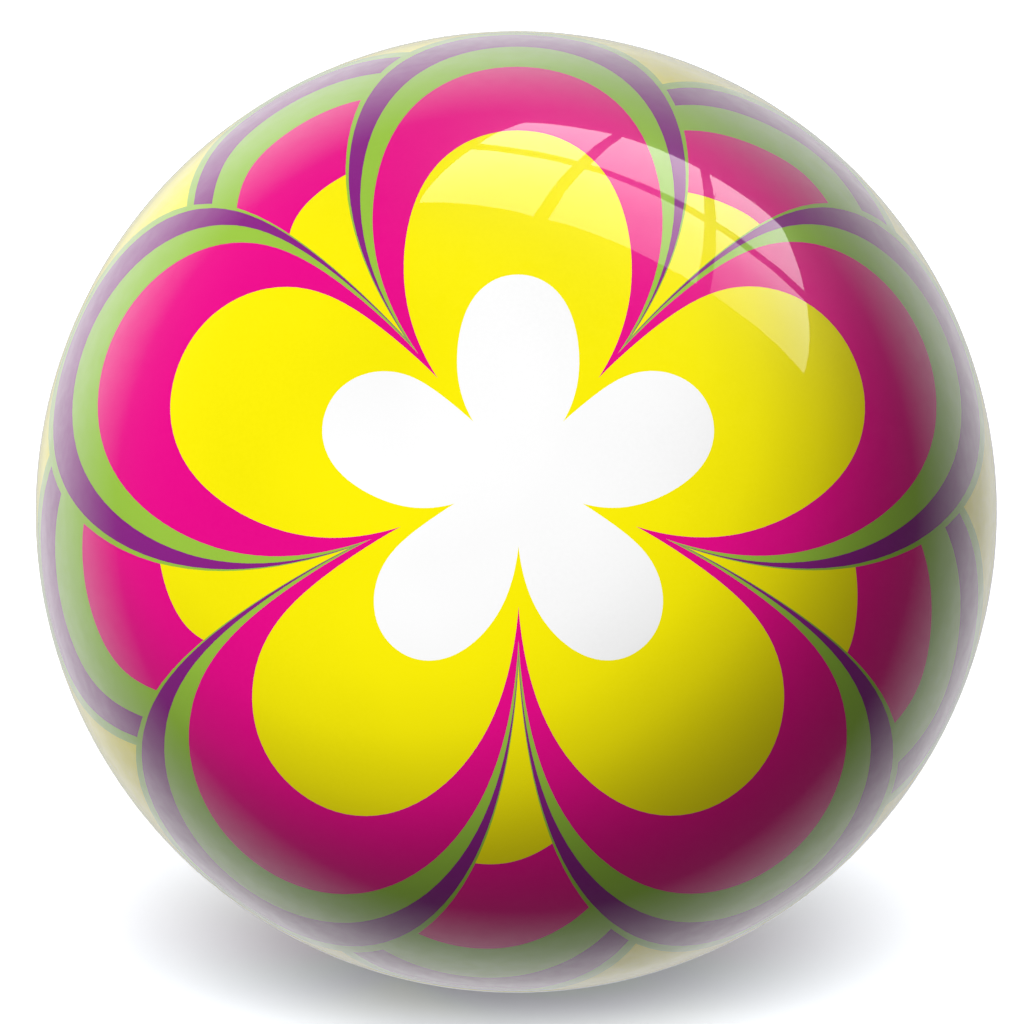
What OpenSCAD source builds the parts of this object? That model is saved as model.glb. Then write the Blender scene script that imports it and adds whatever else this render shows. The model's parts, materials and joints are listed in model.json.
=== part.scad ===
// Printed juggling ball: two moulded half shells joined at the equator, a loose fill,
// a push-in filler plug at the back pole, and a flower printed in five colours on each half.
// Origin at the ball's centre, +Z up, millimetres. The front flower faces -Y, turned up by print_tilt.

/* [Ball] */
// Outside diameter of the ball
ball_d = 72; // [62:1:80]
// Thickness of the moulded shell wall
wall = 3; // [2.6:0.1:4]
// Thickness of the printed colour on the shell
ink = 0.2; // [0.1:0.05:0.3]
// How far the front flower is turned up from level, degrees
print_tilt = 20; // [0:1:40]

/* [Seam] */
// Height of the tongue that locates the two half shells
tongue_h = 2; // [1:0.5:3]
// Thickness of the tongue
tongue_t = 1; // [0.8:0.1:1.2]
// Glue gap round the tongue
glue_gap = 0.05; // [0.02:0.01:0.1]
// Width of the fine line left open where the two halves meet
seam_line = 0.12; // [0.05:0.01:0.3]

/* [Filler plug] */
// Radius of the filler bore
bore_r = 3.5; // [3:0.25:3.75]
// Radius of the plug's round head
head_r = 4.8; // [4.5:0.1:4.9]
// Thickness of the plug's head at its rim
head_t = 1.4; // [1:0.1:1.8]
// Play between the plug's grip ribs and the bore, on the radius
rib_play = 0.03; // [0.02:0.01:0.08]
// How far the filler neck stands into the hollow
neck_h = 6; // [4:0.5:8]
// Wall thickness of the filler neck
neck_wall = 2; // [1.5:0.25:3]

/* [Fill] */
// Height of the fill's level top, measured from the ball's centre
fill_level = -3; // [-12:1:3]
// Clear space between the fill and the shell
fill_gap = 0.3; // [0.2:0.1:0.6]

/* [Flower, first ring] */
// White petals: tip and notch, in degrees from the pole
white_petal = [25.4, 8.4]; // [8.4:0.1:88]
// Yellow petals
yellow_petal = [49.5, 15.4]; // [8.4:0.1:88]
// Magenta petals
magenta_petal = [66.2, 19.4]; // [8.4:0.1:88]
// Green petals
green_petal = [74.6, 20.7]; // [8.4:0.1:88]
// Purple petals
purple_petal = [83, 21.4]; // [8.4:0.1:88]
// Green line round the purple petals
line_petal = [86.3, 22.4]; // [8.4:0.1:88]

/* [Flower, second ring] */
// Yellow petals behind the first ring
yellow_back_petal = [49.4, 16.6]; // [8.4:0.1:88]
// Magenta petals behind the first ring
magenta_back_petal = [66.2, 19.5]; // [8.4:0.1:88]
// Green petals behind the first ring
green_back_petal = [75.6, 22.6]; // [8.4:0.1:88]
// Purple petals behind the first ring
purple_back_petal = [84.4, 23.4]; // [8.4:0.1:88]
// Green line round the back purple petals
line_back_petal = [88, 24.2]; // [8.4:0.1:88]
// How far the second ring is turned clockwise from half way between the first petals, degrees
ring_turn = 6.5; // [0:0.5:12]

/* [Flower, fullness] */
// White petals: fullness of the tip, squareness of the sides
white_full = [1.02, 2.1]; // [1:0.01:3]
// Yellow petals
yellow_full = [1.12, 2.1]; // [1:0.01:3]
// Magenta and green petals
magenta_full = [1.22, 2]; // [1:0.01:3]
// Purple petals
purple_full = [1.16, 2.2]; // [1:0.01:3]
// Green line round the purple petals
line_full = [1.12, 2.2]; // [1:0.01:3]
// All petals of the second ring
back_full = [1.28, 1.96]; // [1:0.01:3]

/* [Flower, lay] */
// How fast the print stretches towards the bottom of the ball, per degree
print_sag = 0.00127; // [0:0.00001:0.0015]
// How fast the print's middle lines bend upwards, per degree
print_lift = 0.00049; // [0:0.00001:0.0008]
// How far the petals at the sides lean towards the top, and the low ones towards the bottom, degrees
print_lean = 0.72; // [0:0.01:2]
// How far the notches are pulled round the ball, from the top petal towards the bottom notch, degrees
notch_pull = 6; // [0:0.5:8]
// How far out from the pole half of that pull is left, degrees
pull_reach = 60; // [40:1:90]
// How much narrower than high the print is laid, as a share
print_squeeze = 0.018; // [0:0.001:0.04]
// Straight steps on each half petal
steps = 10; // [6:1:11]

/* [Hidden] */
$fn = 120;
outer_r = ball_d / 2;
shell_r = outer_r - ink;
hollow_r = shell_r - wall;
fill_r = hollow_r - fill_gap;
petals = 5;
half_turn = 180 / petals;
first_petal = 90;
steepest = 89.3;
pull_sides = 1.7;
pull_squareness = 12;
far = 2.2 * outer_r;
near = 0.6 * outer_r;
slack = 0.01;
seat_gap = 0.1;
tongue_mid_r = (shell_r + hollow_r) / 2;
seat_r = head_r + seat_gap;
seat_z = sqrt(outer_r ^ 2 - seat_r ^ 2) - head_t;
neck_r = bore_r + neck_wall;
neck_end = hollow_r - neck_h;
rib_r = bore_r - rib_play;
stem_r = rib_r - 0.35;
stem_end = neck_end + 0.5;
rib_count = 3;
rib_h = 1.2;
rib_from = neck_end + 1.6;
rib_pitch = (seat_z - rib_h - 0.8 - rib_from) / (rib_count - 1);
nick_r = 1.6;
white_line = concat(white_petal, white_full);
yellow_line = concat(yellow_petal, yellow_full);
magenta_line = concat(magenta_petal, magenta_full);
green_line = concat(green_petal, magenta_full);
purple_line = concat(purple_petal, purple_full);
outer_line = concat(line_petal, line_full);
yellow_back_line = concat(yellow_back_petal, back_full);
magenta_back_line = concat(magenta_back_petal, back_full);
green_back_line = concat(green_back_petal, back_full);
purple_back_line = concat(purple_back_petal, back_full);
outer_back_line = concat(line_back_petal, back_full);

// Turns the ball's own axis, +Z in these modules, to the front flower's direction.
module turn_up() { rotate([90 - print_tilt, 0, 0]) children(); }

// The back half is the front half turned about the upright axis.
module at_back() { rotate([0, 180, 0]) children(); }

module ball(r) { sphere(r = r); }

// Everything on the +Z side of the seam plane, from height z.
module front_side(z = 0) {
    translate([-far, -far, z]) cube([2 * far, 2 * far, far]);
}

module ring(r_in, r_out, z, h) {
    translate([0, 0, z]) difference() {
        cylinder(r = r_out, h = h);
        translate([0, 0, -slack]) cylinder(r = r_in, h = h + 2 * slack);
    }
}

module half_wall() {
    difference() {
        intersection() {
            ball(shell_r);
            front_side();
        }
        ball(hollow_r);
    }
}

// How far a petal's outline lies from the pole, at an angle off its middle line, in degrees.
// An outline is [tip, notch, fullness of the tip, squareness of the sides].
function reach(off, p) =
    p[1] + (p[0] - p[1]) * max(0, 1 - (abs(off) / half_turn) ^ p[3]) ^ (1 / p[2]);

// The closed outline of a whole flower, petal after petal, anticlockwise: [reach, direction].
function flower(p, first) = [
    for (k = [0 : petals - 1])
        for (i = [-steps : steps - 1])
            let (off = half_turn * sin(90 * i / steps))
            [reach(off, p), first + 360 / petals * k + off]
];

// The direction of a point of the flat print once the notches have been pulled round.
function pulled(v) =
    let (
        side = max(-1, min(1, -pull_sides * cos(v[1]))),
        share = abs(sin((v[1] - first_petal) * petals / 2)) ^ pull_squareness / (1 + v[0] / pull_reach)
    )
    v[1] + notch_pull * side * share;

// The direction in which a point of the print lies, as seen from the ball's centre.
function on_ball(v) =
    let (
        way = pulled(v),
        turn = way + print_lean * sin(2 * way),
        x = v[0] * cos(turn),
        y = v[0] * sin(turn),
        stretch = 1 - print_sag * y,
        laid = [x * stretch * (1 - print_squeeze), y * stretch + print_lift * v[0] ^ 2],
        azimuth = atan2(laid.y, laid.x),
        polar = min(steepest, norm(laid))
    )
    [sin(polar) * cos(azimuth), sin(polar) * sin(azimuth), cos(polar)];

// A cutter whose sides run out along the rays from the ball's centre through a flower outline.
module flower_cone(p, first = first_petal) {
    outline = [for (v = flower(p, first)) on_ball(v)];
    n = len(outline);
    polyhedron(
        points = concat([[0, 0, near], [0, 0, far]], near * outline, far * outline),
        faces = concat(
            [for (i = [0 : n - 1]) [0, 2 + i, 2 + (i + 1) % n]],
            [for (i = [0 : n - 1]) [1, 2 + n + (i + 1) % n, 2 + n + i]],
            [for (i = [0 : n - 1]) [2 + i, 2 + n + i, 2 + n + (i + 1) % n, 2 + (i + 1) % n]]
        )
    );
}

module back_ring_cone(p) { flower_cone(p, first_petal + half_turn - ring_turn); }

module ink_skin() {
    difference() {
        intersection() {
            ball(outer_r);
            front_side(seam_line / 2);
        }
        ball(shell_r);
    }
}

// One colour of the first ring: inside one outline and outside the next smaller one.
module front_band(p, inner) {
    difference() {
        intersection() {
            ink_skin();
            flower_cone(p);
        }
        flower_cone(inner);
    }
}

// One colour of the second ring, all the way round.
module whole_back_band(p, inner) {
    difference() {
        intersection() {
            ink_skin();
            back_ring_cone(p);
        }
        back_ring_cone(inner);
    }
}

// The same, cut off where the first ring covers it.
module back_band(p, inner) {
    difference() {
        whole_back_band(p, inner);
        flower_cone(outer_line);
    }
}

module white_print() {
    intersection() {
        ink_skin();
        flower_cone(white_line);
    }
}

module yellow_print() {
    front_band(yellow_line, white_line);
    difference() {
        intersection() {
            ink_skin();
            back_ring_cone(yellow_back_line);
        }
        flower_cone(outer_line);
    }
    difference() {
        ink_skin();
        flower_cone(outer_line);
        back_ring_cone(outer_back_line);
    }
}

module magenta_print() {
    front_band(magenta_line, yellow_line);
    back_band(magenta_back_line, yellow_back_line);
}

// The green lines of both rings run together, so they are cut out as one.
module green_print() {
    front_band(green_line, magenta_line);
    difference() {
        union() {
            intersection() {
                ink_skin();
                flower_cone(outer_line);
            }
            whole_back_band(green_back_line, magenta_back_line);
            whole_back_band(outer_back_line, purple_back_line);
        }
        flower_cone(purple_line);
    }
}

module purple_print() {
    front_band(purple_line, green_line);
    back_band(purple_back_line, green_back_line);
}

module front_shell() {
    color("white") turn_up() difference() {
        half_wall();
        ring(
            tongue_mid_r - tongue_t / 2 - glue_gap, tongue_mid_r + tongue_t / 2 + glue_gap,
            -slack, tongue_h + glue_gap + slack
        );
    }
}

module filler_neck() {
    intersection() {
        translate([0, 0, neck_end]) cylinder(r = neck_r, h = far);
        ball(shell_r);
    }
}

module filler_hole() {
    translate([0, 0, neck_end - 1]) cylinder(r = bore_r, h = far);
    translate([0, 0, seat_z]) cylinder(r = seat_r, h = far);
}

module back_shell() {
    color("white") turn_up() at_back() {
        difference() {
            union() {
                half_wall();
                filler_neck();
            }
            filler_hole();
        }
    }
    color("white") turn_up()
        ring(tongue_mid_r - tongue_t / 2, tongue_mid_r + tongue_t / 2, 0, tongue_h);
}

module filler_plug() {
    color("white") turn_up() at_back() difference() {
        union() {
            intersection() {
                translate([0, 0, seat_z + glue_gap]) cylinder(r = head_r, h = far);
                ball(outer_r);
            }
            translate([0, 0, stem_end]) cylinder(r = stem_r, h = seat_z + 2 * glue_gap - stem_end);
            for (i = [0 : rib_count - 1])
                translate([0, 0, rib_from + i * rib_pitch]) cylinder(r = rib_r, h = rib_h);
        }
        translate([0, -head_r, outer_r + nick_r / 4]) sphere(r = nick_r);
    }
}

module fill() {
    color("burlywood") difference() {
        intersection() {
            ball(fill_r);
            translate([-far, -far, fill_level - far]) cube([2 * far, 2 * far, far]);
        }
        turn_up() at_back() translate([0, 0, neck_end - 2 * fill_gap])
            cylinder(r = neck_r + 2 * fill_gap, h = far);
    }
}

module front_white() { color("white") turn_up() white_print(); }
module front_yellow() { color("yellow") turn_up() yellow_print(); }
module front_magenta() { color("deeppink") turn_up() magenta_print(); }
module front_green() { color("yellowgreen") turn_up() green_print(); }
module front_purple() { color("purple") turn_up() purple_print(); }

module back_white() {
    color("white") turn_up() at_back() difference() {
        white_print();
        filler_hole();
    }
}
module back_yellow() { color("yellow") turn_up() at_back() yellow_print(); }
module back_magenta() { color("deeppink") turn_up() at_back() magenta_print(); }
module back_green() { color("yellowgreen") turn_up() at_back() green_print(); }
module back_purple() { color("purple") turn_up() at_back() purple_print(); }

front_shell();
back_shell();
filler_plug();
fill();
front_white();
front_yellow();
front_magenta();
front_green();
front_purple();
back_white();
back_yellow();
back_magenta();
back_green();
back_purple();
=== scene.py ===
"""Looks of a printed, moulded-shell juggling ball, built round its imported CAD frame."""

import itertools
import json
import math

import bpy
import numpy as np
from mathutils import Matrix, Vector, kdtree, noise


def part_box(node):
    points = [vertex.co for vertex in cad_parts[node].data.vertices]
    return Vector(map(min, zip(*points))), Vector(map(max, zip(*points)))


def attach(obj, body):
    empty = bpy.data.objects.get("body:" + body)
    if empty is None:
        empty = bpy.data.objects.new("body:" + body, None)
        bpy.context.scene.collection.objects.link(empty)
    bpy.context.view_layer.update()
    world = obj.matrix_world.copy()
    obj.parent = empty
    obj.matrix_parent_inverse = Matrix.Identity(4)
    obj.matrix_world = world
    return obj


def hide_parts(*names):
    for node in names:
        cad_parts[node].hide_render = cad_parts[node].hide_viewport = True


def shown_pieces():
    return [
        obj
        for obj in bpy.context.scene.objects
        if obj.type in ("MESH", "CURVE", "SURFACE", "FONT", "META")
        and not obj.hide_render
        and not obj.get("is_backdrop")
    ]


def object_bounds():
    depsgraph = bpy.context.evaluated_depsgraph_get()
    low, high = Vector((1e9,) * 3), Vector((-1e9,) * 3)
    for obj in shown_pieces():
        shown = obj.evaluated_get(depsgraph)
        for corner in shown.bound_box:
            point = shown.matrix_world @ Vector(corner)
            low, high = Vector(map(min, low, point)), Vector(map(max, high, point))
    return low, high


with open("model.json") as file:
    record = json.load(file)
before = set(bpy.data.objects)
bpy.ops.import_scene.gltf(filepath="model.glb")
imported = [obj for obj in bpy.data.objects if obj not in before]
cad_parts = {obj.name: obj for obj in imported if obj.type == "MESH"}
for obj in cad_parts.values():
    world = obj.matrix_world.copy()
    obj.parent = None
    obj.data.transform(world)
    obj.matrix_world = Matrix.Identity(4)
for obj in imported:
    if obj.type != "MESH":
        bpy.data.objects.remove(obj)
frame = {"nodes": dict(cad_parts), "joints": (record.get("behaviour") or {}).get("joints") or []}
cad_low, cad_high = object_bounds()

MM = 0.001

# ---- Driving sizes, from the frame ----
BALL_R = (cad_high.x - cad_low.x) / 2
SHELL_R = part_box("front_shell")[1].x
PLUG_WAY = Vector(next(j["axis"] for j in frame["joints"] if j["name"] == "plug_pull"))
SIDEWAYS = Vector((1, 0, 0))
FRONT = np.array([SIDEWAYS, (-PLUG_WAY).cross(SIDEWAYS), -PLUG_WAY]).T
BACK = np.array([-SIDEWAYS, (-PLUG_WAY).cross(SIDEWAYS), PLUG_WAY]).T

# ---- The flower ----
PETALS = 5
HALF_TURN = 180 / PETALS
FIRST_PETAL = 90
COLUMNS = 36  # on each half petal
STEP = 1.8  # largest step outwards on the print, degrees
SAG = 0.00127  # how fast the print stretches downwards, per degree
LIFT = 0.00049  # how fast its middle lines bend upwards, per degree
LEAN = math.radians(0.72)  # how far the side petals lean up, and the low ones down
SQUEEZE = 0.018  # how much narrower than high it is laid
NOTCH_PULL = math.radians(6)  # how far its notches are pulled round, away from the top petal
PULL_REACH = 60  # how far out half of that pull is left, degrees
PULL_SIDES = 1.7  # how soon, to either side of the upright, the pull is full
PULL_SQUARENESS = 12  # how closely the pull keeps to the notches
RING_TURN = 6.5  # how far the second ring is turned clockwise, degrees
STEEPEST = 89.3  # no petal reaches further from the flower's middle, degrees
SEAM_LINE = 0.12 * MM  # width of the gap between the two printed halves
EDGE_ROUND = 0.1 * MM
LIP = math.degrees(EDGE_ROUND / BALL_R)  # the width of that rounding, as an angle
ROUND_STEPS = 5  # rows of points on a rounded printed edge
WELD = 0.00002 * MM  # points that round to the same multiples of this are one point
TOO_NEAR = 0.1  # columns this near to where two outlines cross are left out, degrees
HALVINGS = 60

# Each petal: tip, notch, fullness of its tip, squareness of its sides.
WHITE = (25.4, 8.4, 1.02, 2.1)
YELLOW = (49.5, 15.4, 1.12, 2.1)
MAGENTA = (66.2, 19.4, 1.22, 2.0)
GREEN = (74.6, 20.7, 1.22, 2.0)
PURPLE = (83.0, 21.4, 1.16, 2.2)
LINE = (86.3, 22.4, 1.12, 2.2)
BACK_YELLOW = (49.4, 16.6, 1.28, 1.96)
BACK_MAGENTA = (66.2, 19.5, 1.28, 1.96)
BACK_GREEN = (75.6, 22.6, 1.28, 1.96)
BACK_PURPLE = (84.4, 23.4, 1.28, 1.96)
BACK_LINE = (88.0, 24.2, 1.28, 1.96)


def reach(off, petal):
    """How far a petal reaches from the flower's middle, at an angle off its own middle line."""
    tip, notch, a, b = petal
    full = np.clip(1 - (np.abs(off) / HALF_TURN) ** b, 0, 1)
    return notch + (tip - notch) * full ** (1 / a)


def off_second(off):
    """The angle off the nearest second-ring petal's middle line."""
    return (off + RING_TURN) % (2 * HALF_TURN) - HALF_TURN


def crossing(petal, side):
    """The angle off a first petal's middle line where a second-ring outline leaves it."""
    low, high = 0.0, HALF_TURN - side * RING_TURN
    for _ in range(HALVINGS):
        mid = (low + high) / 2
        if reach(side * mid, LINE) > reach(off_second(side * mid), petal):
            low = mid
        else:
            high = mid
    return side * low


def pulled(out, turn):
    """The direction of points of the flat print once its notches have been pulled round."""
    side = np.clip(-PULL_SIDES * np.cos(turn), -1, 1)
    share = np.abs(np.sin((turn - math.radians(FIRST_PETAL)) * PETALS / 2)) ** PULL_SQUARENESS
    return turn + NOTCH_PULL * side * share / (1 + out / PULL_REACH)


def lay(out, turn):
    """Directions from the ball's centre for points of the flat print, laid over the ball."""
    way = pulled(out, turn)
    leant = way + LEAN * np.sin(2 * way)
    x, y = out * np.cos(leant), out * np.sin(leant)
    stretch = 1 - SAG * y
    sx, sy = x * stretch * (1 - SQUEEZE), y * stretch + LIFT * out**2
    polar, azimuth = np.radians(np.hypot(sx, sy)), np.arctan2(sy, sx)
    return direction(polar, azimuth)


def direction(polar, azimuth):
    """Unit vectors, from angles off the flower's middle and round it, in radians."""
    x, y = np.sin(polar) * np.cos(azimuth), np.sin(polar) * np.sin(azimuth)
    return np.stack([x, y, np.cos(polar) + 0 * azimuth], -1)


def out_to(polar_deg, turn):
    """Where on the flat print a circle about the flower's middle lies, in each direction."""
    low, high = np.zeros_like(turn), np.full_like(turn, 130.0)
    for _ in range(HALVINGS):
        mid = (low + high) / 2
        below = lay(mid, turn)[..., 2] > math.cos(math.radians(polar_deg))
        low, high = np.where(below, mid, low), np.where(below, high, mid)
    return (low + high) / 2


SECOND = (BACK_YELLOW, BACK_MAGENTA, BACK_GREEN, BACK_PURPLE, BACK_LINE)
crossings = np.array([crossing(petal, side) for petal in SECOND for side in (-1, 1)])
regular = HALF_TURN * np.sin(np.linspace(-math.pi / 2, math.pi / 2, 2 * COLUMNS + 1))[:-1]
regular = [off for off in regular if np.abs(crossings - off).min() > TOO_NEAR]
one_petal = np.sort(np.concatenate([regular, crossings]))
OFF = np.tile(one_petal, PETALS)
PETAL_TURNS = FIRST_PETAL + 360 / PETALS * np.arange(PETALS)
TURN = np.radians(np.repeat(PETAL_TURNS, len(one_petal)) + OFF)
furthest = out_to(STEEPEST, TURN)


def first(petal):
    """A first-ring outline, at every column."""
    return np.minimum(furthest, reach(OFF, petal))


def second(petal):
    """A second-ring outline, at every column, or the first ring's outer line where that covers it."""
    return np.minimum(furthest, np.maximum(first(LINE), reach(off_second(OFF), petal)))


class Skin:
    """Collects the thin closed solids of one printed colour, and makes them one mesh."""

    def __init__(self):
        self.points, self.numbers, self.faces, self.normals, self.edges = [], {}, [], [], {}

    def number(self, point):
        """The number of a point, the same for the same place."""
        key = tuple(np.round(point / WELD))
        if key not in self.numbers:
            self.numbers[key] = len(self.points)
            self.points.append(point)
        return self.numbers[key]

    def face(self, loop, normals):
        """One face, with the points that fall together taken once."""
        kept = [i for i, v in enumerate(loop) if v != loop[i - 1]]
        if len({loop[i] for i in kept}) > 2:
            self.faces.append([loop[i] for i in kept])
            self.normals += [normals[i] for i in kept]
            return self.faces[-1]
        return []

    def band(self, top, top_normal, under, closed):
        """Rows by columns of points, round the whole ball. Columns are closed where the band has
        no width, and there is no face between two closed ones."""
        rows, n = top.shape[:2]
        up = np.array([[self.number(p) for p in row] for row in top])
        down = np.array([[self.number(p) for p in row] for row in under])
        for r in range(rows - 1):
            for j in range(n):
                k = (j + 1) % n
                if closed[j] and closed[k]:
                    continue
                corners = [(r, j), (r + 1, j), (r + 1, k), (r, k)]
                loop = self.face([up[c] for c in corners], [top_normal[c] for c in corners])
                corners.reverse()
                self.face([down[c] for c in corners], [-top_normal[c] for c in corners])
                under_of = dict(zip([up[c] for c in corners], [down[c] for c in corners]))
                for i, v in enumerate(loop):
                    a = loop[i - 1]
                    if (v, a) in self.edges:
                        del self.edges[(v, a)]
                    else:
                        self.edges[(a, v)] = (under_of[a], under_of[v])

    def sides(self):
        """Closes every band along its free edges."""
        for (a, b), (under_a, under_b) in self.edges.items():
            quad = [b, a, under_a, under_b]
            p = [self.points[v] for v in quad]
            side = np.cross(p[1] - p[0], p[3] - p[0])
            side = side / max(np.linalg.norm(side), 1e-15)
            self.face(quad, [side] * 4)

    def piece(self, name, basis, material):
        """The finished mesh, turned to face along its half of the ball."""
        self.sides()
        mesh = bpy.data.meshes.new(name)
        mesh.from_pydata([tuple(p) for p in np.array(self.points) @ basis.T], [], self.faces)
        mesh.polygons.foreach_set("use_smooth", [True] * len(mesh.polygons))
        mesh.normals_split_custom_set([tuple(v) for v in np.array(self.normals) @ basis.T])
        mesh.materials.append(material)
        obj = bpy.data.objects.new(name, mesh)
        bpy.context.scene.collection.objects.link(obj)
        return obj


def spread(inner, outer):
    """Rows of directions from one outline to another. The first and last row lie on them exactly."""
    steps = max(1, math.ceil(float((outer - inner).max()) / STEP))
    share = np.linspace(0, 1, steps + 1)[:, None]
    out = inner + (outer - inner) * share
    out[-1] = outer
    return lay(out, TURN + 0 * share)


def print_band(skin, inner, outer):
    """A band of print between two outlines, as thick as the print is."""
    way = spread(inner, outer)
    skin.band(way * BALL_R, way, way * SHELL_R, (outer - inner) < 1e-9)


def rounded_edge(edge_polar, turn, outwards):
    """Rows of points and normals that round a printed edge off, on a circle about the flower's middle."""
    rows, normals, unders = [], [], []
    for t in np.linspace(0, 1, ROUND_STEPS):
        s = t if outwards else 1 - t
        polar = edge_polar + (LIP * (s - 1) if outwards else LIP * (1 - s))
        way = circle(polar, turn)
        flat = circle(polar + (90 if outwards else -90), turn)
        drop = EDGE_ROUND * (1 - math.sqrt(1 - s * s))
        rows.append(way * (BALL_R - drop))
        normals.append(way * math.sqrt(1 - s * s) + flat * s)
        unders.append(way * SHELL_R)
    return rows, normals, unders


def circle(polar_deg, azimuth):
    """Directions on a circle about the flower's middle."""
    return direction(math.radians(polar_deg), azimuth)


def edged_band(skin, inner, outer, edge_polar, outwards):
    """A band that ends at a free, rounded edge: the seam outwards, or the filler hole inwards."""
    way = spread(inner, outer)
    edge = way[-1] if outwards else way[0]
    turn = np.arctan2(edge[:, 1], edge[:, 0])
    extra, extra_normals, extra_unders = rounded_edge(edge_polar, turn, outwards)
    top, normal, under = list(way * BALL_R), list(way), list(way * SHELL_R)
    if outwards:
        top, normal, under = top + extra[1:], normal + extra_normals[1:], under + extra_unders[1:]
    else:
        top, normal, under = extra[:-1] + top, extra_normals[:-1] + normal, extra_unders[:-1] + under
    none = np.zeros(len(TURN), bool)
    skin.band(np.array(top), np.array(normal), np.array(under), none)


# ---- Materials ----
class Nodes:
    """Short names for the nodes of one material, light or world."""

    def __init__(self, owner):
        owner.use_nodes = True
        self.tree = owner.node_tree
        self.places = self.add("ShaderNodeTexCoord").outputs

    def add(self, kind, *in_order, **values):
        """A node of that kind, with its inputs fed in order or by name, and its settings."""
        made = self.tree.nodes.new(kind)
        for key, value in values.items():
            if key in made.inputs:
                self.feed(made.inputs[key], value)
            else:
                setattr(made, key, value)
        for socket, value in zip(made.inputs, in_order):
            self.feed(socket, value)
        return made

    def feed(self, socket, value):
        """Links another node's output to an input, or sets the input's own value."""
        if isinstance(value, bpy.types.NodeSocket):
            self.tree.links.new(value, socket)
        else:
            socket.default_value = value

    def noise(self, size, detail=3, rough=0.5, stretch=(1, 1, 1)):
        """A noise pattern of about that size, in metres, from 0 to 1."""
        mapped = self.add("ShaderNodeMapping", Vector=self.places["Object"], Scale=stretch).outputs[0]
        how = {"Vector": mapped, "Scale": 1 / size, "Detail": detail, "Roughness": rough}
        return self.add("ShaderNodeTexNoise", **how).outputs["Fac"]

    def between(self, value, low, high, to_low, to_high):
        """A value between low and high, brought to between to_low and to_high."""
        limits = {"From Min": low, "From Max": high, "To Min": to_low, "To Max": to_high}
        return self.add("ShaderNodeMapRange", Value=value, **limits).outputs["Result"]

    def mix(self, share, a, b):
        """A colour between two, by share. Inputs 6 and 7 and output 2 are the node's colours."""
        made = self.add("ShaderNodeMix", data_type="RGBA")
        self.feed(made.inputs[0], share)
        self.feed(made.inputs[6], a)
        self.feed(made.inputs[7], b)
        return made.outputs[2]

    def maths(self, operation, *numbers):
        return self.add("ShaderNodeMath", *numbers, operation=operation).outputs[0]

    def vector(self, operation, *vectors):
        return self.add("ShaderNodeVectorMath", *vectors, operation=operation).outputs

    def ramp(self, value, stops):
        """Brightness by value, in straight steps between stops of value and brightness."""
        made = self.add("ShaderNodeValToRGB", value)
        elements = made.color_ramp.elements
        while len(elements) < len(stops):
            elements.new(0.5)
        for element, (position, bright) in zip(elements, stops):
            element.position, element.color = position, (bright, bright, bright, 1)
        return made.outputs["Color"]

    def bump(self, height, distance, normal=None):
        """Bumps of that depth, in metres, over the surface or over other bumps."""
        made = self.add("ShaderNodeBump", Height=height, Distance=distance)
        if normal is not None:
            self.feed(made.inputs["Normal"], normal)
        return made.outputs["Normal"]


def new_material(name):
    """A new material, short names for its nodes, and its shader."""
    material = bpy.data.materials.new(name)
    nodes = Nodes(material)
    return material, nodes, nodes.tree.nodes["Principled BSDF"]


def lacquered_ink(name, colour):
    """Printed ink under a clear gloss lacquer."""
    material, n, shader = new_material(name)
    drift = n.between(n.noise(16 * MM, 2), 0.35, 0.65, 0.0, 1.0)
    grain = n.between(n.noise(0.3 * MM, 2), 0.35, 0.65, 0.0, 1.0)
    dense = tuple(c * 0.965 for c in colour) + (1,)
    thin = tuple(c + (1 - c) * 0.002 for c in colour) + (1,)
    ink = n.mix(drift, colour + (1,), dense)
    ink = n.mix(n.maths("MULTIPLY", grain, 0.4), ink, thin)
    n.feed(shader.inputs["Base Color"], ink)
    n.feed(shader.inputs["Roughness"], n.between(n.noise(1.2 * MM, 3), 0.3, 0.7, 0.36, 0.48))
    shader.inputs["Specular IOR Level"].default_value = 0.2
    shader.inputs["Coat Weight"].default_value = 1.0
    shader.inputs["Coat Roughness"].default_value = 0.015
    shader.inputs["Coat IOR"].default_value = 1.55
    peel = n.bump(n.noise(4.5 * MM, 1), 0.012 * MM)
    hairline = n.between(n.noise(0.5 * MM, 2, 0.4, (1, 0.02, 0.3)), 0.70, 0.74, 0.0, 1.0)
    n.feed(shader.inputs["Coat Normal"], n.bump(hairline, 0.0006 * MM, peel))
    n.feed(shader.inputs["Normal"], n.bump(n.noise(0.5 * MM, 2), 0.002 * MM))
    return material


def moulded_plastic(name, colour, gloss):
    """White moulded plastic with a fine satin grain, faint flow marks and rubbed high spots."""
    material, n, shader = new_material(name)
    flow = n.between(n.noise(7 * MM, 4, 0.6, (1, 1, 0.35)), 0.3, 0.7, 0.0, 1.0)
    aged = tuple(c * f for c, f in zip(colour, (0.95, 0.945, 0.93)))
    tone = n.mix(flow, colour + (1,), aged + (1,))
    speck = n.between(n.noise(0.22 * MM, 1), 0.72, 0.78, 0.0, 1.0)
    specked = n.mix(n.maths("MULTIPLY", speck, 0.25), tone, (0.55, 0.52, 0.47, 1))
    n.feed(shader.inputs["Base Color"], specked)
    rubbed = n.between(n.noise(3 * MM, 3), 0.45, 0.7, 0.0, 1.0)
    n.feed(shader.inputs["Roughness"], n.between(rubbed, 0.0, 1.0, 1 - gloss, 0.86 - gloss))
    shader.inputs["Subsurface Weight"].default_value = 0.12
    shader.inputs["Subsurface Scale"].default_value = 1.5 * MM
    shader.inputs["Subsurface Radius"].default_value = (1.0, 0.9, 0.8)
    fine = n.bump(n.noise(0.16 * MM, 2, 0.6), 0.006 * MM)
    n.feed(shader.inputs["Normal"], n.bump(n.noise(2.2 * MM, 2), 0.012 * MM, fine))
    return material


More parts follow.
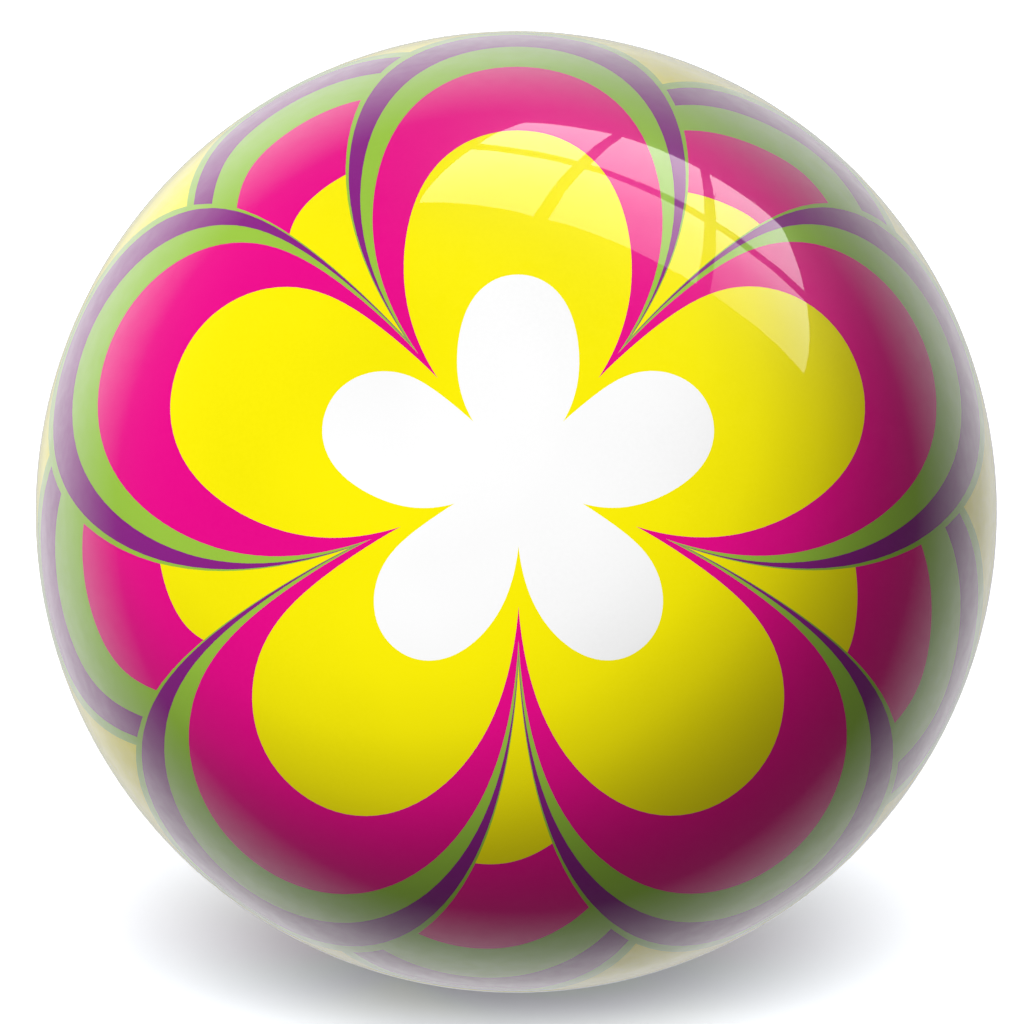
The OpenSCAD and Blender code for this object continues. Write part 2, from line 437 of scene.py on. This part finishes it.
def dry_granules(name):
    """Husk-coloured granules: each has its own tone, and painted shade darkens the hollows between them.
    """
    material, n, shader = new_material(name)
    tone = n.add("ShaderNodeAttribute", attribute_name="grain_tone").outputs["Fac"]
    hollow = n.add("ShaderNodeAttribute", attribute_name="grain_hollow").outputs["Fac"]
    husk = n.mix(tone, (0.62, 0.40, 0.16, 1), (0.36, 0.19, 0.06, 1))
    husk = n.mix(n.between(n.noise(0.5 * MM, 3), 0.4, 0.7, 0.0, 0.35), husk, (0.78, 0.62, 0.36, 1))
    # Painted shade: each hollow between granules is darkened towards dark brown, the more the deeper it
    # is.
    shade_in_hollows = n.mix(n.maths("MULTIPLY", hollow, 0.7), husk, (0.16, 0.09, 0.04, 1))
    n.feed(shader.inputs["Base Color"], shade_in_hollows)
    n.feed(shader.inputs["Roughness"], n.between(n.noise(0.8 * MM, 2), 0.3, 0.7, 0.55, 0.8))
    n.feed(shader.inputs["Normal"], n.bump(n.noise(0.25 * MM, 3), 0.03 * MM))
    return material


INKS = {
    "white": (0.99, 0.99, 0.99),
    "yellow": (0.99, 0.88, 0.0),
    "magenta": (0.84, 0.001, 0.26),
    "green": (0.33, 0.57, 0.055),
    "purple": (0.26, 0.016, 0.24),
}
ink_materials = {ink: lacquered_ink("ink_" + ink, colour) for ink, colour in INKS.items()}

# ---- The print, one piece for each colour on each half ----
SEAM_POLAR = 90 - math.degrees(SEAM_LINE / 2 / BALL_R)
rim = out_to(SEAM_POLAR - LIP, TURN)
plug_points = np.array([v.co for v in frame["nodes"]["filler_plug"].data.vertices])
along = plug_points @ np.array(PLUG_WAY)
across = np.linalg.norm(plug_points - np.outer(along, PLUG_WAY), axis=1)
HEAD_R = float(across.max())
SEAT_GAP = 0.1 * MM  # between the plug's head and the print round it
HOLE_POLAR = math.degrees(math.asin((HEAD_R + SEAT_GAP) / BALL_R))

BANDS = {
    "white": [(0 * OFF, first(WHITE))],
    "yellow": [
        (first(WHITE), first(YELLOW)),
        (first(LINE), second(BACK_YELLOW)),
        (second(BACK_LINE), rim),
    ],
    "magenta": [(first(YELLOW), first(MAGENTA)), (second(BACK_YELLOW), second(BACK_MAGENTA))],
    "green": [
        (first(MAGENTA), first(GREEN)),
        (first(PURPLE), first(LINE)),
        (second(BACK_MAGENTA), second(BACK_GREEN)),
        (second(BACK_PURPLE), second(BACK_LINE)),
    ],
    "purple": [(first(GREEN), first(PURPLE)), (second(BACK_GREEN), second(BACK_PURPLE))],
}


def print_piece(half, basis, ink):
    """All of one colour on one half of the ball."""
    skin = Skin()
    for inner, outer in BANDS[ink]:
        if outer is rim:
            edged_band(skin, inner, outer, SEAM_POLAR, True)
        elif ink == "white" and half == "back":
            edged_band(skin, out_to(HOLE_POLAR + LIP, TURN), outer, HOLE_POLAR, False)
        else:
            print_band(skin, inner, outer)
    node = f"{half}_{ink}"
    obj = skin.piece(node + "_print", basis, ink_materials[ink])
    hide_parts(node)
    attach(obj, "ball")


for half, basis in (("front", FRONT), ("back", BACK)):
    for ink in INKS:
        print_piece(half, basis, ink)

# ---- The two half shells stay as they are in the CAD ----
shell_plastic = moulded_plastic("moulded_white", (0.86, 0.855, 0.83), 0.5)
for node in ("front_shell", "back_shell"):
    obj = frame["nodes"][node]
    obj.data.materials.clear()
    obj.data.materials.append(shell_plastic)
    for place in obj.material_slots:
        place.material = shell_plastic

# ---- The filler plug, turned about its own axis ----
RIBS = 3
RIB_H = 1.2 * MM
NICK_R = 1.6 * MM  # the thumb nick in the head's rim
NICK_SOFT = 0.12 * MM  # how softly its edge is blended
TIP_ROUND = 0.5 * MM  # rounding of the stem's end
NECK_ROUND = 0.25 * MM  # hollow rounding where the stem meets the head
HEAD_ROUND = 0.2 * MM  # rounding under the head's rim
CROWN_ROUND = 0.22 * MM  # rounding above it
AROUND = 180  # points round each ring of the plug
CROWN_ROWS = 40
head_points = along[across > HEAD_R - 0.05 * MM]
under_head = float(head_points.min())
stem_end = float(along.min())
rib_r = float(across[along < under_head - 0.3 * MM].max())
stem_r = rib_r - 0.35 * MM
rib_from = stem_end + 1.1 * MM
rib_pitch = (under_head - 0.05 * MM - RIB_H - 0.8 * MM - rib_from) / (RIBS - 1)


def arc(r, z, radius, start, stop, steps):
    """Points on a circle's arc in the plane of (distance from the axis, height)."""
    turns = np.radians(np.linspace(start, stop, steps + 1))
    return [(r + radius * math.cos(t), z + radius * math.sin(t)) for t in turns]


def plug_profile():
    """The plug's outline as (distance from the axis, height), from the stem's end to the crown."""
    line = [(0.0, stem_end + 0.15 * MM), (1.2 * MM, stem_end + 0.1 * MM), (1.9 * MM, stem_end)]
    line += arc(stem_r - TIP_ROUND, stem_end + TIP_ROUND, TIP_ROUND, -90, 0, 8)
    for i in range(RIBS):
        foot = rib_from + i * rib_pitch
        for t in np.linspace(0, 1, 13):
            line.append((stem_r + (rib_r - stem_r) * math.sin(math.pi * t) ** 0.7, foot + RIB_H * t))
    line += arc(stem_r + NECK_ROUND, under_head - NECK_ROUND, NECK_ROUND, 180, 90, 5)
    line += arc(HEAD_R - HEAD_ROUND, under_head + HEAD_ROUND, HEAD_ROUND, -90, 0, 6)
    crown_r = HEAD_R - CROWN_ROUND
    crown_turn = math.degrees(math.acos(crown_r / (BALL_R - CROWN_ROUND)))
    crown_z = (BALL_R - CROWN_ROUND) * math.sin(math.radians(crown_turn))
    line += arc(crown_r, crown_z, CROWN_ROUND, 0, crown_turn, 8)
    return line + arc(0, 0, BALL_R, crown_turn, 90, CROWN_ROWS - 1)[1:]


def nicked(point):
    """The head's rim with a soft thumb nick, pressed in from above."""
    x, y, z = point
    reach_out = math.hypot(x, y + HEAD_R)
    if z < under_head + 0.1 * MM or reach_out > NICK_R * 1.6:
        return point
    floor_z = BALL_R + NICK_R
    if reach_out < NICK_R:
        floor_z = BALL_R + NICK_R / 4 - math.sqrt(NICK_R**2 - reach_out**2)
    if floor_z - z > 8 * NICK_SOFT:
        return point
    shares = [math.exp(-min((height - under_head) / NICK_SOFT, 60)) for height in (z, floor_z)]
    return (x, y, min(z, under_head - NICK_SOFT * math.log(sum(shares))))


def lathe(name, line, basis, material, press):
    """A solid turned from a profile, with each of its points passed through press."""
    points, faces, rings = [], [], []
    for r, z in line:
        if r < 1e-9:  # the axis
            rings.append([len(points)])
            points.append((0.0, 0.0, z))
        else:
            rings.append(list(range(len(points), len(points) + AROUND)))
            for i in range(AROUND):
                t = 2 * math.pi * i / AROUND
                points.append(press((r * math.cos(t), r * math.sin(t), z)))
    for low_ring, high_ring in zip(rings, rings[1:]):
        for i in range(AROUND):
            k = (i + 1) % AROUND
            corners = ((low_ring, i), (low_ring, k), (high_ring, k), (high_ring, i))
            loop = [ring[place % len(ring)] for ring, place in corners]
            faces.append([v for j, v in enumerate(loop) if v != loop[j - 1]])
    mesh = bpy.data.meshes.new(name)
    mesh.from_pydata([tuple(p) for p in np.array(points) @ basis.T], [], faces)
    mesh.polygons.foreach_set("use_smooth", [True] * len(mesh.polygons))
    mesh.materials.append(material)
    obj = bpy.data.objects.new(name, mesh)
    bpy.context.scene.collection.objects.link(obj)
    return obj


plug_plastic = moulded_plastic("soft_white", (0.9, 0.9, 0.885), 0.42)
plug = lathe("filler_plug_turned", plug_profile(), BACK, plug_plastic, nicked)
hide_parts("filler_plug")
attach(plug, "plug")

# ---- The fill: settled granules ----
GRAIN = 1.9 * MM
GRAIN_DEPTH = 0.6 * MM  # of the hollows between granules
GRAIN_SCATTER = 0.62  # how unevenly they lie, as a share of a granule
GRAIN_ROUND = 0.72 * GRAIN  # from a granule's middle to where its hollow is deepest
LEVEL_DIP = 1.1 * MM  # how uneven the top is
DIP_SCALE = 90  # swells of the top in each metre
DIP_FROM, DIP_OVER = 2.5 * MM, 2 * MM  # they begin that far below the top, and grow over that height
VOXEL = 0.5 * MM


def granular_fill():
    """The CAD's fill solid with a level, slightly uneven top, and every granule of its skin rounded."""
    solid = frame["nodes"]["fill"]
    shaper = bpy.data.objects.new("fill_shaper", solid.data.copy())
    bpy.context.scene.collection.objects.link(shaper)
    remesh = shaper.modifiers.new("even", "REMESH")
    remesh.mode = "VOXEL"
    remesh.voxel_size = VOXEL
    mesh = bpy.data.meshes.new_from_object(shaper.evaluated_get(bpy.context.evaluated_depsgraph_get()))
    bpy.data.objects.remove(shaper)
    low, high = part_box("fill")
    cells = [range(math.floor(low[i] / GRAIN) - 1, math.ceil(high[i] / GRAIN) + 2) for i in range(3)]
    chance = np.random.default_rng(7)
    granules = list(itertools.product(*cells))
    seeds = kdtree.KDTree(len(granules))
    for number, cell in enumerate(granules):
        half_over = 0.5 * (cell[2] % 2)
        shifts = (half_over, half_over, 0)
        seed = [(c + shift + GRAIN_SCATTER * chance.random()) * GRAIN for c, shift in zip(cell, shifts)]
        seeds.insert(seed, number)
    seeds.balance()
    tones = chance.random(len(granules))
    tone, hollow, moved = [], [], []
    for vertex in mesh.vertices:
        place = vertex.co
        _, number, gap = seeds.find(place)
        depth = 1 - math.sqrt(max(0.0, 1 - min(1.0, gap / GRAIN_ROUND) ** 2))
        tone.append(tones[number])
        hollow.append(depth)
        top = min(1.0, max(0.0, (place.z - high.z + DIP_FROM) / DIP_OVER))
        dip = (0.5 + 0.5 * noise.noise(place * DIP_SCALE)) * LEVEL_DIP * top
        moved.append(place - vertex.normal * (GRAIN_DEPTH * depth) - Vector((0, 0, dip)))
    for vertex, place in zip(mesh.vertices, moved):
        vertex.co = place
    mesh.attributes.new("grain_tone", "FLOAT", "POINT").data.foreach_set("value", tone)
    mesh.attributes.new("grain_hollow", "FLOAT", "POINT").data.foreach_set("value", hollow)
    mesh.polygons.foreach_set("use_smooth", [True] * len(mesh.polygons))
    mesh.materials.clear()
    mesh.materials.append(dry_granules("husk_granules"))
    obj = bpy.data.objects.new("fill_granules", mesh)
    bpy.context.scene.collection.objects.link(obj)
    return obj


fill = granular_fill()
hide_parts("fill")
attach(fill, "fill")

# ---- Camera ----
LENS = 1600  # a very long lens: the photo's ball is seen from far away
SENSOR = 36
FILLS = 0.93945  # how much of the picture's width the ball takes
POLE_ABOVE = 4.35  # the flower's middle, seen above the middle of the ball, degrees
POLE_RIGHT = 0.26  # and to the right of it, degrees
SIDE_SHIFT, UP_SHIFT = -0.0042, -0.0003  # the ball's place in the picture
elevation = math.degrees(math.asin(-PLUG_WAY.z)) - POLE_ABOVE
rise, aside = math.radians(elevation), math.radians(-POLE_RIGHT)
distance = BALL_R * math.hypot(1, 2 * LENS / (SENSOR * FILLS))
camera = bpy.data.objects.new("camera", bpy.data.cameras.new("camera"))
bpy.context.scene.collection.objects.link(camera)
level = Vector((math.sin(aside), -math.cos(aside), 0))
towards = level * math.cos(rise) + Vector((0, 0, math.sin(rise)))
camera.location = towards * distance
camera.rotation_mode = "QUATERNION"
camera.rotation_quaternion = (-towards).to_track_quat("-Z", "Y")
camera.data.lens, camera.data.sensor_width = LENS, SENSOR
camera.data.shift_x, camera.data.shift_y = SIDE_SHIFT, UP_SHIFT
camera.data.clip_start, camera.data.clip_end = 0.05, 50
bpy.context.scene.camera = camera

# ---- Stage ----
scene = bpy.context.scene
scene.view_settings.view_transform = "Standard"


def stage_mesh(name, points, faces, material):
    """A mesh that belongs to the studio."""
    mesh = bpy.data.meshes.new(name)
    mesh.from_pydata([tuple(p) for p in points], [], faces)
    mesh.materials.append(material)
    obj = bpy.data.objects.new(name, mesh)
    scene.collection.objects.link(obj)
    obj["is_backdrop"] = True
    return obj


right = Vector((math.cos(aside), math.sin(aside), 0))
up = towards.cross(right)


def seen(x, y, z):
    """A vector given in the camera's own directions: right, up, towards the camera."""
    return right * x + up * y + towards * z


ball_only = bpy.data.collections.new("ball_only")
floor_only = bpy.data.collections.new("floor_only")

FLOOR_TONE = 0.25  # lit brightly, so that the ball throws little colour on it
FLOOR_TINT = (0.975, 1, 1.035)
FLOOR = 6  # half its width, metres
floor_paper, _, paper = new_material("floor")
paper.inputs["Base Color"].default_value = tuple(FLOOR_TONE * c for c in FLOOR_TINT) + (1,)
paper.inputs["Roughness"].default_value = 0.9
paper.inputs["Specular IOR Level"].default_value = 0.0
floor_corners = [(x * FLOOR, y * FLOOR, -BALL_R) for x, y in ((-1, -1), (1, -1), (1, 1), (-1, 1))]
floor = stage_mesh("floor", floor_corners, [[0, 1, 2, 3]], floor_paper)
floor.visible_glossy = False
floor.visible_diffuse = False
floor_only.objects.link(floor)
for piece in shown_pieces():
    ball_only.objects.link(piece)


def studio_light(kind, name, watts, only, **values):
    """A light that shines on one collection only, and isn't seen or mirrored itself."""
    light = bpy.data.lights.new(name, kind)
    light.energy = watts
    for key, value in values.items():
        setattr(light, key, value)
    obj = bpy.data.objects.new(name, light)
    scene.collection.objects.link(obj)
    obj.visible_glossy = obj.visible_camera = False
    obj.light_linking.receiver_collection = only
    obj.rotation_mode = "QUATERNION"
    return obj


def aim(obj, place):
    """Puts a light in its place, and points it at the ball's centre."""
    obj.location = place
    obj.rotation_quaternion = place.to_track_quat("Z", "Y")


# The key light: beside the camera, above and to the left of it, and dimmer towards the ball's edge.
AWAY = 60 * BALL_R
FULL = 4 * math.pi**2 * AWAY**2  # watts that light a white surface fully at that distance
KEY_SHARE = 1.05
KEY_WAY = (-0.277, 0.329, 1)
KEY_CONE = math.radians(3)
# Its brightness, by how far from the beam's middle it falls, in ball radii.
KEY_EDGE = (
    (0, 0.78),
    (0.25, 0.865),
    (0.4, 0.88),
    (0.5, 0.933),
    (0.6, 0.966),
    (0.7, 0.936),
    (0.8, 0.728),
    (0.9, 0.338),
    (0.97, 0.07),
    (1, 0.06),
)
spot = {"spot_size": KEY_CONE, "spot_blend": 0.0, "shadow_soft_size": 0.5 * MM}
key = studio_light("SPOT", "key", KEY_SHARE * FULL, ball_only, **spot)
aim(key, seen(*KEY_WAY).normalized() * AWAY)
beam = Nodes(key.data)
across_beam = beam.vector("MULTIPLY", beam.places["Normal"], (1, 1, 0))[0]
off_axis = beam.maths("MULTIPLY", beam.vector("LENGTH", across_beam)["Value"], AWAY / BALL_R - 1)
beam.feed(beam.tree.nodes["Emission"].inputs["Strength"], beam.ramp(off_axis, KEY_EDGE))

# Two soft lights for the far side, each with its direction and its share of full light.
REAR_LIGHTS = {"rear_left": ((-0.75, 0.35, -0.55), 0.125), "rear_right": ((0.45, 0.1, -0.89), 0.2)}
for name, (way, share) in REAR_LIGHTS.items():
    rear = studio_light("AREA", name, FULL * share, ball_only, shape="DISK", size=0.8)
    aim(rear, seen(*way).normalized() * AWAY)

# The floor's own light: a wide soft source high in front, and an even share that throws no shadow.
FLOOR_RISE = math.radians(55)
FLOOR_SPREAD = math.radians(86)
FLOOR_FULL = math.pi / FLOOR_TONE
FLOOR_KEY_SHARE, FLOOR_EVEN_SHARE = 1.65, 0.27
floor_watts = FLOOR_KEY_SHARE * FLOOR_FULL / math.sin(FLOOR_RISE)
floor_key = studio_light("SUN", "floor_key", floor_watts, floor_only, angle=FLOOR_SPREAD)
aim(floor_key, Vector((0, -math.cos(FLOOR_RISE), math.sin(FLOOR_RISE))))
floor_even = studio_light("SUN", "floor_even", FLOOR_EVEN_SHARE * FLOOR_FULL, floor_only)
floor_even.data.use_shadow = False

# What the gloss mirrors: a six-pane window, high on the right. Its places are directions from the ball:
# how far they turn to the right of straight up, and how far they lean towards the camera, in degrees.
WINDOW_AWAY = 3.0
COLUMNS_OF_PANES, ROWS_OF_PANES = 3, 2
TALL, WIDE = 14, 8  # grid of one pane
WINDOW_TOP, WINDOW_FOOT = -17.5, 17.3
WINDOW_TURN = 22  # its middle line
WINDOW_HALF, WIDENING = 21, 0.97  # half its width at the top, and what each degree downwards adds
BAR = 0.8  # half the width of an upright bar at the top; twice that at the foot
CROSS_BAR = 1.1  # half the width of the bar between the two rows
CROSS_LINE = (-2.3, 0.006, 27)  # a bowed line: its lean, its bend, and the turn it is bent about
FOOT_LINE = (WINDOW_FOOT, 0.0065, 25)
GLOW = ((WINDOW_TOP, -5, 5, WINDOW_FOOT), (4.5, 3.6, 2.4, 1.8))  # brightness, by lean


def upright_line(u, lean):
    """The turn of an upright line, with u from -1 at the window's left side to 1 at its right."""
    return WINDOW_TURN + u * (WINDOW_HALF + WIDENING * (lean - WINDOW_TOP))


def bowed_line(line, turn):
    """The lean of a bowed line, at a turn."""
    lean, bend, about = line
    return lean - bend * (turn - about) ** 2


def pane_place(column, row, s, t):
    """The turn and lean of a point that lies s across a pane and t down it."""
    height = WINDOW_FOOT - WINDOW_TOP
    lean = WINDOW_TOP + height * (row + t) / ROWS_OF_PANES
    for _ in range(4):  # the lines depend on each other, so they are closed in on
        bar = BAR + BAR * (lean - WINDOW_TOP) / height
        left = upright_line(-1 + 2 * column / COLUMNS_OF_PANES, lean) + bar * (column > 0)
        right_side = upright_line(-1 + 2 * (column + 1) / COLUMNS_OF_PANES, lean)
        right_side -= bar * (column < COLUMNS_OF_PANES - 1)
        turn = left + (right_side - left) * s
        cross = bowed_line(CROSS_LINE, turn)
        top, foot = WINDOW_TOP, cross - CROSS_BAR
        if row == 1:
            top, foot = cross + CROSS_BAR, bowed_line(FOOT_LINE, turn)
        lean = top + (foot - top) * t
    return turn, lean


def window_pane(column, row, material):
    """One bright pane, placed so that the ball mirrors it from its own place."""
    points, brightness = [], []
    for j, i in itertools.product(range(TALL + 1), range(WIDE + 1)):
        s, t = i / WIDE, j / TALL
        turn, lean = pane_place(column, row, s, t)
        p, q = math.radians(turn), math.radians(lean)
        mirrored = seen(math.sin(p) * math.cos(q), math.cos(p) * math.cos(q), math.sin(q))
        facing = (mirrored + towards).normalized()
        points.append(facing * BALL_R + mirrored * WINDOW_AWAY)
        darker_corner = 0.5 * (row == 1 and column == 2) * t * (1 - s)
        brightness.append(float(np.interp(lean, *GLOW)) * (1 - darker_corner))
    starts = [j * (WIDE + 1) + i for j in range(TALL) for i in range(WIDE)]
    faces = [[k, k + 1, k + WIDE + 2, k + WIDE + 1] for k in starts]
    pane = stage_mesh(f"window_{column}_{row}", points, faces, material)
    pane.data.attributes.new("glow", "FLOAT", "POINT").data.foreach_set("value", brightness)
    for sees in ("camera", "diffuse", "shadow", "transmission"):
        setattr(pane, "visible_" + sees, False)


daylight, nodes, _ = new_material("daylight")
glow = nodes.add("ShaderNodeAttribute", attribute_name="glow").outputs["Fac"]
emission = nodes.add("ShaderNodeEmission", Strength=glow)
nodes.feed(nodes.tree.nodes["Material Output"].inputs["Surface"], emission.outputs[0])
for column, row in itertools.product(range(COLUMNS_OF_PANES), range(ROWS_OF_PANES)):
    window_pane(column, row, daylight)

# The room: white to the camera, dim for the ball, and bright behind it, where the rim's gloss mirrors it.
AMBIENT = 0.19
ROOM_BRIGHT = ((0, 0), (0.375, 0.02), (0.6, 0.6), (0.77, 1), (0.94, 1), (1, 0.63))  # by how far behind
BRIGHTER_WAY = (-0.6, 0.8, 0)  # the room is brighter on this side of the picture
TILT, LEVEL = 0.36, 1.05  # how much brighter there, and the brightness half way
world = bpy.data.worlds.new("studio")
scene.world = world
room = Nodes(world)
world.cycles.sampling_method = "NONE"
gaze = room.places["Generated"]
behind = room.vector("DOT_PRODUCT", gaze, tuple(-towards))["Value"]
sideways = room.vector("DOT_PRODUCT", gaze, tuple(seen(*BRIGHTER_WAY)))["Value"]
tilt = room.maths("MULTIPLY_ADD", sideways, TILT, LEVEL)
mirrored_room = room.maths("MULTIPLY", room.ramp(behind, ROOM_BRIGHT), tilt)
ray = room.add("ShaderNodeLightPath").outputs
for_ball = room.add("ShaderNodeMix", Factor=ray["Is Glossy Ray"], A=AMBIENT, B=mirrored_room)
lit = room.add("ShaderNodeMix", Factor=ray["Is Camera Ray"], A=for_ball.outputs["Result"], B=1.0)
background = room.tree.nodes["Background"]
background.inputs["Color"].default_value = (1, 1, 1, 1)
room.feed(background.inputs["Strength"], lit.outputs["Result"])
